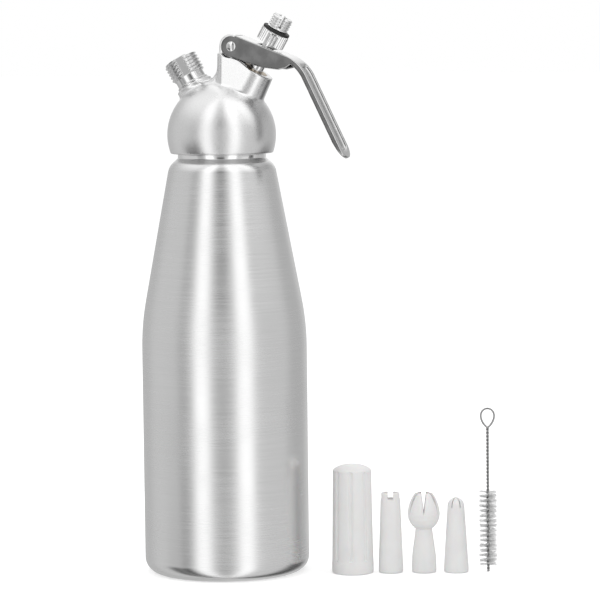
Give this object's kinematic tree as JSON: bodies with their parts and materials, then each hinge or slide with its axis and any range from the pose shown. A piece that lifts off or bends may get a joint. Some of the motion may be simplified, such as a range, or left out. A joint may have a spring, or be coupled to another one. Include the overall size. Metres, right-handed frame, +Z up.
{
  "type": "whipped cream dispenser",
  "caption": "Cream whipper: tapered aluminium bottle, ball head with squeeze lever, push valve, slotted tip and charger stub, with charger holder, nozzles and brush beside it.",
  "frame": {"origin": "middle of the bottle's foot on the table", "axes": "+Z up along the bottle, +X towards the lever's handle, the lever's pivot along Y"},
  "size_m": [0.1988, 0.0944, 0.32],
  "materials": {
    "bottle_aluminium": "brushed upright",
    "head_aluminium": "fine bead blast",
    "adapter_aluminium": "turned",
    "polished_steel": "polished",
    "dark_polished_steel": "polished, dark",
    "spring_steel": "drawn wire",
    "wire_steel": "twisted wire",
    "brass_bush": "turned",
    "black_rubber": "matte",
    "white_seal": "matte",
    "white_plastic": "satin",
    "white_bristle": "satin"
  },
  "bodies": {
    "bottle": {"bottle": "bottle_aluminium"},
    "gasket": {"head_gasket": "white_seal"},
    "head": {"head_casting": "head_aluminium", "inlet_stub": "polished_steel", "inlet_washer": "white_seal", "piercing_pin": "polished_steel", "charger_seal": "black_rubber", "check_sleeve": "black_rubber", "pivot_barrel": "polished_steel", "pivot_screw": "polished_steel", "valve_guide": "brass_bush", "guide_oring": "black_rubber", "valve_spring": "spring_steel"},
    "lever": {"lever": "dark_polished_steel"},
    "valve": {"valve_stem": "polished_steel", "valve_disc": "black_rubber", "valve_nut": "polished_steel", "tip_adapter": "adapter_aluminium", "tip_gasket": "black_rubber"},
    "charger_holder": {"charger_holder": "white_plastic"},
    "straight_nozzle": {"straight_nozzle": "white_plastic"},
    "tulip_nozzle": {"tulip_nozzle": "white_plastic"},
    "round_nozzle": {"round_nozzle": "white_plastic"},
    "brush": {"brush_wire": "wire_steel", "brush_bristles": "white_bristle"}
  },
  "joints": [
    {"name": "gasket_rise", "type": "slide", "parent": "bottle", "child": "gasket", "axis": [0, 0, 1], "range_m": [0, 0.0101]},
    {"name": "head_turn", "type": "hinge", "parent": "gasket", "child": "head", "pos_m": [0, 0, 0.251], "axis": [0, 0, 1], "range_deg": [0, 900]},
    {"name": "lever_squeeze", "type": "hinge", "parent": "head", "child": "lever", "pos_m": [0.0093, 0, 0.30108], "axis": [0, 1, 0], "range_deg": [0, 10], "stiffness_Nm_per_rad": 1.3, "springref_deg": -13.46},
    {"name": "valve_push", "type": "slide", "parent": "head", "child": "valve", "axis": [-0.5, 0, -0.866], "range_m": [0, 0.0025], "deforming": ["valve_spring"]},
    {"name": "holder_lift", "type": "slide", "parent": "bottle", "child": "charger_holder", "axis": [0, 0, 1], "range_m": [0, 0.1]},
    {"name": "straight_nozzle_lift", "type": "slide", "parent": "bottle", "child": "straight_nozzle", "axis": [0, 0, 1], "range_m": [0, 0.1]},
    {"name": "tulip_nozzle_lift", "type": "slide", "parent": "bottle", "child": "tulip_nozzle", "axis": [0, 0, 1], "range_m": [0, 0.1]},
    {"name": "round_nozzle_lift", "type": "slide", "parent": "bottle", "child": "round_nozzle", "axis": [0, 0, 1], "range_m": [0, 0.1]},
    {"name": "brush_lift", "type": "slide", "parent": "bottle", "child": "brush", "axis": [0, 0, 1], "range_m": [0, 0.1]}
  ],
  "couplings": [
    {"joint": "gasket_rise", "follows": "head_turn", "m_per_rad": 0.00063662},
    {"joint": "valve_push", "follows": "lever_squeeze", "m_per_rad": 0.014}
  ]
}
